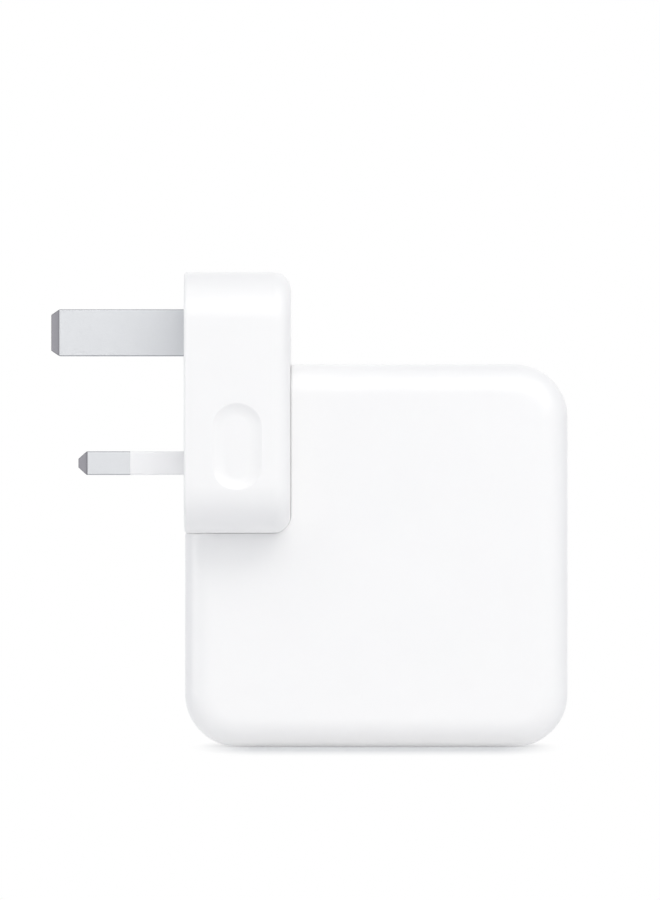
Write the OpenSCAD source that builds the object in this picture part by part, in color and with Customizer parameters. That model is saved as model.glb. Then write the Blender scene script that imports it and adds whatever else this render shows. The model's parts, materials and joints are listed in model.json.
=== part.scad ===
// Laptop power adapter: a soft-cornered white housing that stands on its lower edge, with a
// detachable three-pin wall plug that slides down into a dock cut from its upper left corner.
// +Z is up, the wall pins point to -X, and the origin is the centre of the housing's foot.

/* [Housing] */
// Width of the housing
body_w = 65; // [63:0.5:80]
// Height of the housing
body_h = 65; // [64:0.5:80]
// Thickness of the housing, front to rear
body_t = 28.5; // [28:0.5:36]
// Corner radius of the housing, seen from the front
corner_r = 9; // [7.5:0.5:14]
// Radius of the rolled edge round the front and rear faces
edge_r = 5; // [3.5:0.5:7]
// Wall thickness of the two housing shells
wall = 2; // [1.6:0.1:2.4]
// Depth of the tongue that joins the two shells
lip_h = 1.2; // [0.8:0.1:2]

/* [Plug head] */
// Width of the plug head, front to rear
head_w = 48.5; // [47.6:0.5:56]
// Height of the plug head
head_h = 44.2; // [43:0.2:50]
// Depth of the plug head along its pins
head_d = 18; // [17.5:0.5:22]
// Corner radius of the plug head, seen from the pins
head_corner_r = 8; // [6:0.5:11]
// Radius of the rolled edge round the back of the plug head
head_roll = 3; // [2:0.2:3.6]
// Radius of the small edge round the pin face
face_edge_r = 0.5; // [0.2:0.1:1]
// Thickness of the plug head's pin face
face_wall = 2.6; // [2:0.2:3]
// Thickness of the plug head's side walls
head_wall = 4; // [3.8:0.1:4.6]
// Thickness of the cover in the back of the plug head
cover_t = 2; // [1.6:0.1:2.4]
// Distance that the pin face stands proud of the housing's side
head_proud = 0.05; // [0:0.05:1]

/* [Dock] */
// Height of the dock that the plug head slides into
dock_h = 28.8; // [28:0.2:32]
// Visible gap between the plug head and the dock
seam_gap = 0.15; // [0.1:0.05:0.4]
// Height of the locking stud above the dock's floor
stud_up = 14.4; // [13:0.2:17]
// Diameter of the locking stud's head
stud_head_dia = 9.6; // [8:0.2:10]
// Thickness of the locking stud's head
stud_head_t = 1.8; // [1.4:0.1:2]
// Diameter of the locking stud's neck
stud_neck_dia = 5.8; // [4.6:0.2:6.4]

/* [Wall pins] */
// Distance from the foot of the plug head to the two live pins
live_up = 11.85; // [11.7:0.05:14]
// Distance between the two live pins
live_pitch = 22.2; // [21:0.1:24]
// Distance from the live pins up to the earth pin
earth_up = 22.23; // [21:0.01:24]
// Width of a live pin
live_w = 6.35; // [6.2:0.01:6.5]
// Thickness of a live pin
live_t = 4; // [3.9:0.01:4.1]
// Length of a live pin in front of the pin face
live_len = 18; // [17.2:0.1:20]
// Height of the earth pin's section
earth_w = 8; // [7.8:0.01:8.1]
// Thickness of the earth pin's section
earth_t = 4; // [3.9:0.01:4.1]
// Length of the earth pin in front of the pin face
earth_len = 22.9; // [22.2:0.1:26]
// Length of the insulating sleeve in front of the pin face
sleeve_len = 9.2; // [8.9:0.1:9.6]
// Wall thickness of the insulating sleeve
sleeve_wall = 0.65; // [0.5:0.05:0.8]

/* [Finger dimple] */
// Width of the dimple on each side of the plug head
dimple_w = 8.3; // [6:0.1:10]
// Height of the dimple
dimple_h = 14.7; // [12:0.1:18]
// Depth of the dimple
dimple_deep = 0.8; // [0.5:0.1:1.5]
// Height of the dimple's centre above the foot of the plug head
dimple_up = 14.6; // [12:0.1:18]

/* [Mains inlet] */
// Diameter of an inlet pin
inlet_pin_dia = 2.36; // [2.2:0.02:2.5]
// Distance between the two inlet pins
inlet_pitch = 8.6; // [8.2:0.1:9]
// Depth of the inlet's cavity
inlet_deep = 12; // [11:0.1:13]
// Diameter of each round end of the plug head's nose
nose_dia = 7.2; // [6.8:0.1:7.6]
// Distance that the nose stands out under the plug head
nose_len = 10.5; // [9.5:0.1:10.8]

/* [USB-C port] */
// Height of the port's centre above the housing's foot
port_up = 32.5; // [28:0.5:36]
// Length of the port's metal shell, across the opening
port_w = 8.94; // [8.9:0.01:9]
// Thickness of the port's metal shell, across the opening
port_t = 3.16; // [3.1:0.01:3.2]
// Depth of the port's metal shell
port_deep = 7.8; // [7.3:0.1:9]
// Sheet thickness of the port's metal shell
port_sheet = 0.3; // [0.2:0.05:0.35]

/* [Inside] */
// Thickness of the main circuit board
board_t = 1.6; // [1:0.1:2]
// Diameter of a mains storage capacitor
bulk_dia = 12.4; // [10:0.2:12.6]
// Length of a mains storage capacitor
bulk_len = 21; // [18:0.5:21.5]
// Width of the transformer's core
core_w = 16; // [14:0.5:17]
// Length of the transformer's core
core_l = 22; // [19:0.5:22.5]
// Thickness of a heat spreader plate
plate_t = 0.8; // [0.5:0.1:1]

/* [Hidden] */
$fn = 64;

tie = 0.5;            // depth by which joined features run into each other
over = 1;             // length by which a cutter runs past the face that it opens
fit = 0.05;           // clearance of a pin, tube or part that is pressed or moulded in
slip = 0.1;           // clearance of a part laid against its neighbour
run = 0.4;            // clearance round a part that slides

// Dock and plug head
head_back_x = -body_w / 2 - head_proud + head_d;
head_face_x = head_back_x - head_d;
head_mid_x = head_back_x - head_d / 2;
dock_x = head_back_x + seam_gap;
dock_z = body_h - dock_h;
dock_r = head_roll + seam_gap;
head_foot_z = dock_z + seam_gap;
cavity_face_x = head_face_x + face_wall;
cover_x = head_back_x - cover_t;
cover_inset = head_wall - 0.8;

// Locking stud, the slot round it and the clip in the slot
clip_sheet = 0.5;
stud_z = dock_z + stud_up;
stud_neck_len = seam_gap + cover_t + clip_sheet + run / 2;
stud_head_x = dock_x - stud_neck_len - stud_head_t;
slot_w = stud_neck_dia + 2 * run;
slot_room = stud_head_dia + 2 * run + 2 * clip_sheet;
slot_back_x = stud_head_x - run;
slot_wall = 1;

// Wall pins
live_z = head_foot_z + live_up;
earth_z = live_z + earth_up;
pin_tip = 1.5;
pin_edge = 0.45;
carrier_t = 2.4;
carrier_x = cavity_face_x + slip;
flange_x = carrier_x + carrier_t;
flange_t = 1.2;
tail_x = flange_x + flange_t;
tail_len = 1.8;
tail_dia = 2.6;
live_core_w = live_w - 2 * sleeve_wall;
live_core_t = live_t - 2 * sleeve_wall;
stake_y = 14;
stake_z = (live_z + earth_z) / 2;
stake_dia = 3;

// Mains inlet and nose
nose_slip = 0.35;
inlet_x = slot_back_x - slot_wall - slip - nose_dia / 2 - 0.9;
inlet_floor_t = 2.5;
inlet_foot_z = dock_z - inlet_deep - inlet_floor_t;
inlet_rim = 1.2;
inlet_cavity_dia = nose_dia + 2 * nose_slip;
inlet_collar_w = inlet_cavity_dia + 2 * inlet_rim - 0.4;
inlet_collar_l = inlet_pitch + inlet_cavity_dia + 2 * inlet_rim;
inlet_body_w = inlet_collar_w + 0.4;
inlet_body_l = inlet_collar_l + 2;
pin_tail_len = 3;
pin_recess = 1.5;
contact_dia = 4.2;
contact_foot_z = head_foot_z - nose_len + 2;
contact_top_z = live_z - live_t / 2 - 0.4;
nose_waist = 5.4;
nose_flange_t = 2;
nose_top_z = head_foot_z + head_wall + slip + nose_flange_t;
strap_t = 0.8;

// Inside of the housing, from the rear wall forwards
inner_y = body_t / 2 - wall;
insulator_t = 0.3;
lead_room = 1.2;
plate_y = inner_y - slip - plate_t;
insulator_y = plate_y - fit - insulator_t;
board_y = insulator_y - lead_room - board_t;
part_room = board_y + insulator_y - slip;
board_inset = wall + 1;
board_right = body_w / 2 - board_inset;
board_step_x = dock_x + board_inset;
board_step_z = inlet_foot_z - 2.5;
board_foot_z = board_inset;
board_top_z = body_h - board_inset;
lead_dia = 2.2;
lead_bend = 1.8;
lead_drop = 1.6;
post_dia = 3.6;
post_in = 3.2;
post_places = [
    [inlet_x + (lead_dia + post_dia) / 2 + run, board_foot_z + post_in],
    [board_right - post_in, board_foot_z + post_in],
    [board_right - post_in, board_top_z - post_in],
    [board_step_x + post_in - 0.4, board_top_z - post_in]
];

// Port and its board
port_mouth_x = body_w / 2 - slip;
port_gap = 0.06;
port_board_y = port_t / 2 + fit;
port_board_t = 1;
port_board_x = port_mouth_x - 11.6;
port_board_h = 20;

// ---------------------------------------------------------------- shared forms

// Rectangle with round corners, centred.
module round_rect(w, h, r) {
    square([w - 2 * r, h], center = true);
    square([w, h - 2 * r], center = true);
    for (x = [-1, 1], y = [-1, 1])
        translate([x * (w / 2 - r), y * (h / 2 - r)]) circle(r);
}

// Long hole or bar with round ends, centred, its length along Y.
module stadium(w, l) {
    square([w, l - w], center = true);
    for (y = [-1, 1]) translate([0, y * (l - w) / 2]) circle(d = w);
}

// Figure of eight: two round lobes along Y and a narrower waist between them.
module figure_eight(d, pitch, waist) {
    square([waist, pitch], center = true);
    for (y = [-1, 1]) translate([0, y * pitch / 2]) circle(d = d);
}

// What rounds a square corner at the origin, of a shape that lies towards -X and -Y.
module corner_cut(r) if (r > 0) translate([-r, -r]) difference() {
    square(2 * r);
    circle(r);
}

// Section of a slab's edge, w wide and t thick: upper outer corner rolled by r, lower by foot_r.
module edge_section(w, t, r, foot_r = 0) difference() {
    square([w, t]);
    translate([w, t]) corner_cut(r);
    translate([w, 0]) mirror([0, 1]) corner_cut(foot_r);
}

// Slab on Z = 0, centred in plan, with corners of radius cr and its edges rolled the same way.
module rolled_slab(w, l, t, cr, er, foot_r = 0) {
    linear_extrude(t) square([w - 2 * cr, l - 2 * cr], center = true);
    for (q = [0 : 3]) {
        across = q % 2 == 0 ? w : l;
        along = q % 2 == 0 ? l : w;
        rotate(90 * q) translate([across / 2 - cr, along / 2 - cr, 0]) {
            rotate_extrude(angle = 90) edge_section(cr, t, er, foot_r);
            rotate([90, 0, 0]) linear_extrude(along - 2 * cr) edge_section(cr, t, er, foot_r);
        }
    }
}

// Plan XY with its thickness along Z, turned so that the plan stands in XZ and Z points forwards.
module facing_front() rotate([90, 0, 0]) children();
module facing_rear() mirror([0, 1, 0]) facing_front() children();

// Plan XY with its thickness along Z, turned so that the plan lies in YZ and Z points to +X.
module facing_right() rotate([90, 0, 90]) children();

// Box between a lowest and a highest corner.
module box(low, high) translate(low) cube(high - low);

// ---------------------------------------------------------------- housing

// Plan of what the dock takes away, grown outwards by the given amount.
module dock_plan(grow) {
    r = dock_r + grow;
    difference() {
        translate([-body_w, dock_z - grow]) square([body_w + dock_x + grow, body_h]);
        translate([dock_x + grow, dock_z - grow]) mirror([0, 1]) corner_cut(r);
    }
}

// Outline of the housing with the dock cut out, inset by the given amount.
module body_plan(inset) {
    difference() {
        translate([0, body_h / 2])
            round_rect(body_w - 2 * inset, body_h - 2 * inset, corner_r - inset);
        dock_plan(inset);
    }
}

// Half of the housing's form, inset by the given amount, from the split plane outwards.
module half_form(inset) {
    difference() {
        translate([0, body_h / 2, 0])
            rolled_slab(body_w - 2 * inset, body_h - 2 * inset, body_t / 2 - inset,
                        corner_r - inset, edge_r - inset);
        translate([0, 0, -over]) linear_extrude(body_t) dock_plan(inset);
    }
}

// Openings that both shells share: mains inlet, locking stud and USB-C port.
module shell_openings() {
    translate([inlet_x, 0, dock_z - wall - over]) linear_extrude(wall + 2 * over)
        round_rect(inlet_collar_w + 2 * slip, inlet_collar_l + 2 * slip, 3);
    translate([dock_x - over, 0, stud_z]) rotate([0, 90, 0])
        cylinder(d = stud_neck_dia + 2 * fit, h = wall + 2 * over);
    translate([body_w / 2 - wall - over, 0, port_up]) facing_right()
        linear_extrude(wall + 2 * over) stadium(port_t + 2 * port_gap, port_w + 2 * port_gap);
}

// Posts that grip the circuit board, from the inner face down to the given distance from the split.
module board_posts(stop) {
    for (p = post_places) translate([p[0], p[1], stop])
        cylinder(d = post_dia, h = inner_y + tie - stop);
}

// Ribs that keep the inlet from rocking, on the left wall of a shell, from the given distance
// from the split plane outwards.
module inlet_ribs(start) {
    rib_x = inlet_x - inlet_body_w / 2 - slip;
    for (z = [inlet_foot_z + 2, inlet_foot_z + inlet_deep - 2])
        translate([-body_w / 2 + wall / 2, z, start])
            cube([rib_x + body_w / 2 - wall / 2, 1.2, inlet_body_l / 2 - start]);
}

module front_shell() color("white") difference() {
    facing_front() {
        difference() {
            half_form(0);
            half_form(wall);
        }
        translate([0, 0, -lip_h]) linear_extrude(lip_h + tie) difference() {
            body_plan(wall / 2 + fit);
            body_plan(wall - fit);
        }
        board_posts(-board_y + fit);
        inlet_ribs(fit);
    }
    shell_openings();
}

module rear_shell() color("white") difference() {
    facing_rear() {
        difference() {
            half_form(0);
            half_form(wall);
            translate([0, 0, -over]) linear_extrude(over + lip_h + slip) difference() {
                body_plan(wall / 2);
                body_plan(wall + over);
            }
        }
        board_posts(board_y + board_t + fit);
        inlet_ribs(lip_h + slip + fit);
    }
    shell_openings();
}

// Flat sheet that lines a shell, cut clear of the board posts; y is its face nearer the middle.
module lining(y, t) {
    translate([0, 0, y]) linear_extrude(t) difference() {
        body_plan(edge_r + slip);
        for (p = post_places) translate(p) circle(d = post_dia + 2 * run);
    }
}

module front_heat_spreader() color("silver") facing_front() lining(plate_y, plate_t);
module rear_heat_spreader() color("silver") facing_rear() lining(plate_y, plate_t);
module front_insulator() color("ivory") facing_front() lining(insulator_y, insulator_t);
module rear_insulator() color("ivory") facing_rear() lining(insulator_y, insulator_t);

// ---------------------------------------------------------------- dock fittings

// The two inlet pins stand in a figure-of-eight well that a lead or the plug head's nose enters.
module at_inlet_pins() for (y = [-1, 1]) translate([inlet_x, y * inlet_pitch / 2, 0]) children();

module ac_inlet() color("whitesmoke") difference() {
    union() {
        translate([inlet_x, 0, inlet_foot_z]) linear_extrude(dock_z - inlet_foot_z - tie / 2)
            round_rect(inlet_collar_w, inlet_collar_l, 3);
        translate([inlet_x, 0, inlet_foot_z])
            linear_extrude(dock_z - wall - slip - inlet_foot_z)
                round_rect(inlet_body_w, inlet_body_l, 2);
    }
    translate([inlet_x, 0, dock_z - inlet_deep]) linear_extrude(inlet_deep + over)
        figure_eight(inlet_cavity_dia, inlet_pitch, nose_waist + 2 * nose_slip);
    at_inlet_pins() translate([0, 0, inlet_foot_z - over])
        cylinder(d = inlet_pin_dia + 2 * fit, h = inlet_floor_t + 2 * over);
}

// Turned pin with a round tip and a seating collar under the inlet's floor.
module inlet_pin() {
    r = inlet_pin_dia / 2;
    foot = inlet_foot_z - pin_tail_len;
    reach = dock_z - pin_recess - foot;
    translate([0, 0, foot]) rotate_extrude() {
        square([r, reach - r]);
        translate([0, reach - r]) intersection() {
            circle(r);
            square(r);
        }
        translate([0, pin_tail_len - 1]) square([r + 0.7, 1 - fit]);
    }
}

module inlet_pins() color("gainsboro") at_inlet_pins() inlet_pin();

// Insulated wire from a pin's tail, bent back to the circuit board after the given drop.
module inlet_lead(y, drop) {
    top = inlet_foot_z - pin_tail_len - fit;
    translate([inlet_x, y, top - drop]) cylinder(d = lead_dia, h = drop);
    translate([inlet_x, y + lead_bend, top - drop]) rotate([90, 0, -90])
        rotate_extrude(angle = -90) translate([lead_bend, 0]) circle(d = lead_dia);
    translate([inlet_x, y + lead_bend, top - drop - lead_bend]) rotate([-90, 0, 0])
        cylinder(d = lead_dia, h = board_y - fit - y - lead_bend);
}

// The lead from the front pin drops lower, so that it passes under the rear one.
module inlet_leads() color("saddlebrown") {
    inlet_lead(inlet_pitch / 2, lead_drop);
    inlet_lead(-inlet_pitch / 2, lead_drop + lead_dia + 0.4);
}

// Turned stud: mushroom head and neck in the dock, shank through the wall, thread inside.
stud_flange_t = 1.2;
stud_thread_len = 3.4;
nut_t = 1.8;
nut_across = 7;
stud_thread_dia = 4;
module along_stud() translate([stud_head_x, 0, stud_z]) rotate([0, 90, 0]) children();

module lock_stud() color("gainsboro") along_stud() {
    neck = stud_neck_len + wall + fit;
    rotate_extrude() edge_section(stud_head_dia / 2, stud_head_t, 0, 0.5);
    translate([0, 0, stud_head_t - tie]) cylinder(d = stud_neck_dia, h = neck + tie);
    translate([0, 0, stud_head_t + neck]) {
        cylinder(d = stud_head_dia, h = stud_flange_t);
        cylinder(d = stud_thread_dia, h = stud_flange_t + stud_thread_len);
    }
}

tag_t = 0.6;
tag_x = dock_x + wall + fit + stud_flange_t + fit;
stud_end_x = dock_x + wall + fit + stud_flange_t + stud_thread_len;
module earth_tag() color("goldenrod") {
    difference() {
        translate([tag_x, 0, stud_z]) rotate([0, 90, 0]) cylinder(d = stud_head_dia, h = tag_t);
        translate([tag_x - over, 0, stud_z]) rotate([0, 90, 0])
            cylinder(d = stud_thread_dia + 2 * fit, h = tag_t + 2 * over);
    }
    box([tag_x, stud_head_dia / 2 - tie, stud_z - 1.5], [tag_x + tag_t, board_y - fit, stud_z + 1.5]);
}

module stud_nut() color("silver") {
    translate([tag_x + tag_t + fit, 0, stud_z]) rotate([0, 90, 0]) difference() {
        cylinder(d = nut_across / cos(30), h = nut_t, $fn = 6);
        translate([0, 0, -over])
            cylinder(d = stud_thread_dia + 2 * fit, h = nut_t + 2 * over);
    }
}

// ---------------------------------------------------------------- circuit board and its parts

module main_board() color("darkgreen") facing_rear() translate([0, 0, board_y])
    linear_extrude(board_t) difference() {
        body_plan(board_inset);
        translate([-body_w, board_step_z]) square([body_w + board_step_x, body_h]);
    }

// Child modelled standing on Z = 0 in plan XY, moved to its place on the board's front face.
module on_board(x, z) facing_front() translate([x, z, -board_y + fit]) children();

bulk_space = 0.7;
bulk_foot_z = board_foot_z + 0.6;
fuse_dia = 8.4;
fuse_tall = 8;
fuse_x = board_step_x + fuse_dia / 2 + 0.6;
fuse_z = bulk_foot_z + 2 * bulk_dia + bulk_space + 0.6 + fuse_dia / 2;
module mains_fuse() color("black") on_board(fuse_x, fuse_z) {
    rotate_extrude() edge_section(fuse_dia / 2, fuse_tall, 1);
}

choke_dia = 12;
choke_hole = 5;
choke_t = 5.6;
choke_wrap = 0.8;
choke_x = inlet_x + inlet_body_w / 2 + 0.5 + choke_dia / 2;
choke_z = board_foot_z + 7.8;
module choke_core() color("darkslategray") on_board(choke_x, choke_z)
    translate([0, 0, choke_wrap]) difference() {
        cylinder(d = choke_dia - 2 * choke_wrap, h = choke_t);
        translate([0, 0, -over]) cylinder(d = choke_hole + 2 * choke_wrap, h = choke_t + 2 * over);
    }

// Two windings, each a sleeve that wraps a third of the ring.
module choke_windings() color("peru") on_board(choke_x, choke_z)
    for (side = [0, 180]) rotate(side - 60) rotate_extrude(angle = 120) difference() {
        translate([choke_hole / 2, 0])
            square([(choke_dia - choke_hole) / 2, choke_t + 2 * choke_wrap]);
        translate([choke_hole / 2 + choke_wrap - fit, choke_wrap - fit])
            square([(choke_dia - choke_hole) / 2 - 2 * choke_wrap + 2 * fit, choke_t + 2 * fit]);
    }

// Can that lies on the board along X, with the rolled-in groove at its rubber end.
module lying_can(d, l) {
    r = d / 2;
    groove = 0.6;
    translate([0, 0, r]) rotate([0, 90, 0]) rotate_extrude() difference() {
        square([r, l]);
        translate([r, 2.6]) circle(groove);
        translate([r - groove, l - groove]) difference() {
            square(2 * groove);
            circle(groove);
        }
    }
}

// The storage capacitors lie between the choke and the output capacitors, shortened to fit.
out_dia = 8;
out_tall = 12;
out_x = board_right - 10.6;
bulk_x = choke_x + choke_dia / 2 + 0.5;
can_len = min(bulk_len, out_x - out_dia / 2 - run - bulk_x);
function bulk_z(row) = bulk_foot_z + bulk_dia / 2 + row * (bulk_dia + bulk_space);
module bulk_capacitors() color("midnightblue") for (row = [0, 1])
    on_board(bulk_x, bulk_z(row)) lying_can(bulk_dia, can_len);

// Can that stands on the board, with its rubber foot stepped in.
module standing_can(d, l) {
    cylinder(d = d - 1, h = 1);
    translate([0, 0, 1]) rotate_extrude() edge_section(d / 2, l - 1, 0.6);
}

out_places = [
    [out_x, board_foot_z + 4.8],
    [out_x, board_foot_z + 13.4],
    [board_right - 4.4, board_top_z - 12.4]
];
module output_capacitors() color("silver")
    for (p = out_places) on_board(p[0], p[1]) standing_can(out_dia, out_tall);

xcap_w = 5.8;
xcap_l = 14;
xcap_tall = 12;
xcap_x = max(stud_end_x, post_places[3][0] + post_dia / 2) + 0.4;
module x_capacitor() color("gold") on_board(xcap_x + xcap_w / 2, board_top_z - 1 - xcap_l / 2)
    rolled_slab(xcap_w, xcap_l, xcap_tall, 0.8, 0.6);

// Disc capacitors on edge, clear of the locking stud's end.
ycap_dia = 8.6;
ycap_t = 3.4;
ycap_x = stud_end_x + run + ycap_dia / 2;
ycap_z = fuse_z + fuse_dia / 2 + 0.6 + ycap_t / 2;
module y_capacitors() color("royalblue") for (i = [0, 1])
    on_board(ycap_x, ycap_z + i * (ycap_t + 1))
        translate([0, ycap_t / 2, ycap_dia / 2 + 1]) rotate([90, 0, 0]) {
            rotate_extrude() edge_section(ycap_dia / 2, ycap_t, 0.8);
            for (x = [-1, 1]) translate([x * 2.5, 0, ycap_t / 2]) rotate([90, 0, 0])
                cylinder(d = 0.6, h = ycap_dia / 2 + 1);
        }

bridge_l = 10;
bridge_t = 3.2;
bridge_tall = 9;
module bridge_rectifier() color("dimgray")
    on_board(fuse_x + fuse_dia / 2 + 1 + bridge_l / 2, fuse_z) {
        translate([-bridge_l / 2, -bridge_t / 2, 1]) cube([bridge_l, bridge_t, bridge_tall]);
        for (i = [0 : 3]) translate([(i - 1.5) * 2.5, 0, 0]) cylinder(d = 0.8, h = 1 + tie);
    }

// Flat chips soldered to the rear of the board.
module on_board_rear(x, z) facing_rear() translate([x, z, board_y + board_t + fit]) children();
chip_t = 0.9;
module power_switches() color("black") for (z = [0, 10])
    on_board_rear(bulk_x + 4, board_foot_z + 16 + z)
        linear_extrude(chip_t) square([8, 8], center = true);
module control_chips() color("black") {
    for (p = [[16, 12], [16, 20], [22, 42]])
        on_board_rear(board_step_x + p[0], board_foot_z + p[1])
            linear_extrude(chip_t) square([5, 6], center = true);
}

// Transformer, its winding axis square to the board, narrowed to end before the port's board.
xf_tall = part_room - 1.6;
xf_left_x = max(xcap_x + xcap_w, ycap_x + ycap_dia / 2) + 0.8;
xf_w = min(core_w, port_board_x - run - xf_left_x);
xf_x = xf_left_x + xf_w / 2;
xf_z = board_top_z - 3.2 - core_l / 2;
core_slab = 3.2;
core_leg = 1.8;
post_leg_dia = 7.4;
core_gap = 0.3;
bobbin_wall = 0.9;
bobbin_foot = core_slab + slip;
bobbin_tall = xf_tall - 2 * core_slab - 2 * slip;
winding_dia = min(xf_w - 0.4, core_l - 2 * core_leg - 1);

// One half of the core: slab, two outer legs and the round centre leg.
module core_half() {
    half = (xf_tall - core_gap) / 2;
    translate([-xf_w / 2, -core_l / 2, 0]) cube([xf_w, core_l, core_slab]);
    for (y = [-core_l / 2, core_l / 2 - core_leg])
        translate([-xf_w / 2, y, core_slab - tie]) cube([xf_w, core_leg, half - core_slab + tie]);
    cylinder(d = post_leg_dia, h = half);
}

module transformer_core() color("darkslategray") on_board(xf_x, xf_z) {
    core_half();
    translate([0, 0, xf_tall]) mirror([0, 0, 1]) core_half();
}

module transformer_bobbin() color("black") on_board(xf_x, xf_z)
    translate([0, 0, bobbin_foot]) rotate_extrude() {
        inner = post_leg_dia / 2 + slip;
        translate([inner, 0]) square([bobbin_wall, bobbin_tall]);
        for (y = [0, bobbin_tall - bobbin_wall])
            translate([inner, y]) square([winding_dia / 2 - inner, bobbin_wall]);
    }

module transformer_winding() color("gold") on_board(xf_x, xf_z)
    translate([0, 0, bobbin_foot + bobbin_wall + fit]) rotate_extrude() {
        inner = post_leg_dia / 2 + slip + bobbin_wall + fit;
        translate([inner, 0])
            square([winding_dia / 2 - 0.4 - inner, bobbin_tall - 2 * bobbin_wall - 2 * fit]);
    }

// Soft pads that carry heat from the tallest parts to the front spreader.
module thermal_pads() color("lightgray") {
    pad_foot = -board_y + fit;
    facing_front() {
        translate([xf_x, xf_z, pad_foot + xf_tall + fit])
            linear_extrude(insulator_y - slip - pad_foot - xf_tall)
                square([xf_w, core_l], center = true);
        for (row = [0, 1])
            translate([bulk_x + can_len / 2, bulk_z(row), pad_foot + bulk_dia + fit])
            linear_extrude(insulator_y - slip - pad_foot - bulk_dia)
                square([can_len - 6, bulk_dia * 0.6], center = true);
    }
}

// ---------------------------------------------------------------- USB-C port

module at_port() translate([port_mouth_x, 0, port_up]) mirror([1, 0, 0]) facing_right() children();

module usb_c_shell() color("silver") at_port() difference() {
    linear_extrude(port_deep) stadium(port_t, port_w);
    translate([0, 0, -over]) linear_extrude(port_deep + 2 * over)
        stadium(port_t - 2 * port_sheet, port_w - 2 * port_sheet);
}

tongue_w = 6.69;
tongue_t = 0.6;
tongue_recess = 0.6;
tongue_base = 1.8;
module usb_c_tongue() color("black") at_port() {
    translate([0, 0, port_deep - tongue_base]) linear_extrude(tongue_base)
        stadium(port_t - 2 * port_sheet - 2 * fit, port_w - 2 * port_sheet - 2 * fit);
    translate([0, 0, tongue_recess]) facing_right() linear_extrude(tongue_t, center = true)
        tab(tongue_w, port_deep - tongue_recess - tongue_base + tie, 0.8);
}

// Tab that stands up from its free end at Y = 0, where its corners are rounded by r.
module tab(w, l, r) difference() {
    translate([-w / 2, 0]) square([w, l]);
    for (x = [0, 1]) mirror([x, 0]) translate([w / 2, 0]) mirror([0, 1]) corner_cut(r);
}

contact_pitch = 0.5;
contact_w = 0.25;
contact_t = 0.05;
contact_len = 3.8;
module usb_c_contacts() color("goldenrod") at_port() translate([0, 0, tongue_recess + 0.7])
    for (side = [-1, 1], i = [-5.5 : 5.5])
        translate([side * (tongue_t / 2 + contact_t / 2), i * contact_pitch, contact_len / 2])
            cube([contact_t, contact_w, contact_len], center = true);

module port_board() color("darkgreen")
    translate([port_board_x, port_board_y, port_up - port_board_h / 2])
        cube([board_right - port_board_x, port_board_t, port_board_h]);

header_x = port_board_x + 1.6;
module port_header() color("goldenrod") for (i = [-2.5 : 2.5])
    box([header_x - 0.32, port_board_y + port_board_t + fit, port_up + i * 2.54 - 0.32],
        [header_x + 0.32, board_y - fit, port_up + i * 2.54 + 0.32]);

// ---------------------------------------------------------------- plug head

// The plug head's outside.
module head_form() translate([head_face_x, 0, head_foot_z + head_h / 2])
    facing_right() rolled_slab(head_w, head_h, head_d, head_corner_r, head_roll, face_edge_r);

// Plain prism with the plug head's outline, inset by the given amount.
module head_prism(inset, from_x, to_x) translate([from_x, 0, head_foot_z + head_h / 2])
    facing_right() linear_extrude(to_x - from_x)
        round_rect(head_w - 2 * inset, head_h - 2 * inset, head_corner_r - inset);

// Half section of the dimple: flat in the middle, with walls that sweep up to the rim.
dimple_sweep = 2.2;
module dimple_section() {
    half = dimple_w / 2;
    sweep = dimple_sweep;
    r = (sweep * sweep + dimple_deep * dimple_deep) / (2 * dimple_deep);
    translate([0, -dimple_deep]) square([half - sweep, dimple_deep + over]);
    intersection() {
        translate([half - sweep, r - dimple_deep]) circle(r);
        translate([half - sweep, -dimple_deep]) square([sweep, dimple_deep + over]);
    }
}

// Cutter for one dimple, standing out along Y from the plug head's side.
module dimple() {
    run_l = dimple_h - dimple_w;
    for (end = [-1, 1]) translate([0, 0, end * run_l / 2]) rotate([-90, 0, 0])
        rotate([0, 0, end < 0 ? 0 : 180]) rotate_extrude(angle = 180) dimple_section();
    for (side = [0, 1]) mirror([side, 0, 0]) translate([0, 0, -run_l / 2])
        linear_extrude(run_l) dimple_section();
}

module dimples() for (side = [0, 1]) mirror([0, side, 0])
    translate([head_mid_x, head_w / 2, head_foot_z + dimple_up]) dimple();

// T-slot that the stud runs in: neck slot, open at the foot, and room for the stud's head.
module stud_slot(width, from_x, to_x) {
    box([from_x, -width / 2, head_foot_z - over], [to_x, width / 2, stud_z]);
    translate([from_x, 0, stud_z]) rotate([0, 90, 0]) cylinder(d = width, h = to_x - from_x);
}

module nose_plan(grow) figure_eight(nose_dia + 2 * grow, inlet_pitch, nose_waist + 2 * grow);

module head_shell() color("white") {
    difference() {
        head_form();
        head_prism(head_wall, cavity_face_x, head_back_x + over);
        head_prism(cover_inset, cover_x, head_back_x + over);
        for (side = [-1, 1]) at_pin(side * live_pitch / 2, live_z)
            pin_hole(live_w, live_t);
        at_pin(0, earth_z) pin_hole(earth_t, earth_w);
        translate([inlet_x, 0, head_foot_z - over]) linear_extrude(head_wall + 2 * over)
            nose_plan(fit);
        stud_slot(slot_w, cover_x - over, head_back_x + over);
        stud_slot(slot_room, slot_back_x, cover_x);
        dimples();
    }
    for (side = [-1, 1]) translate([cavity_face_x - tie, side * stake_y, stake_z])
        rotate([0, 90, 0]) cylinder(d = stake_dia, h = carrier_t + slip + tie + 0.4);
}

module at_pin(y, z) translate([head_face_x, y, z]) facing_right() children();
module pin_hole(w, h) translate([0, 0, -over]) linear_extrude(face_wall + 2 * over)
    round_rect(w + 2 * fit, h + 2 * fit, pin_edge + fit);

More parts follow.
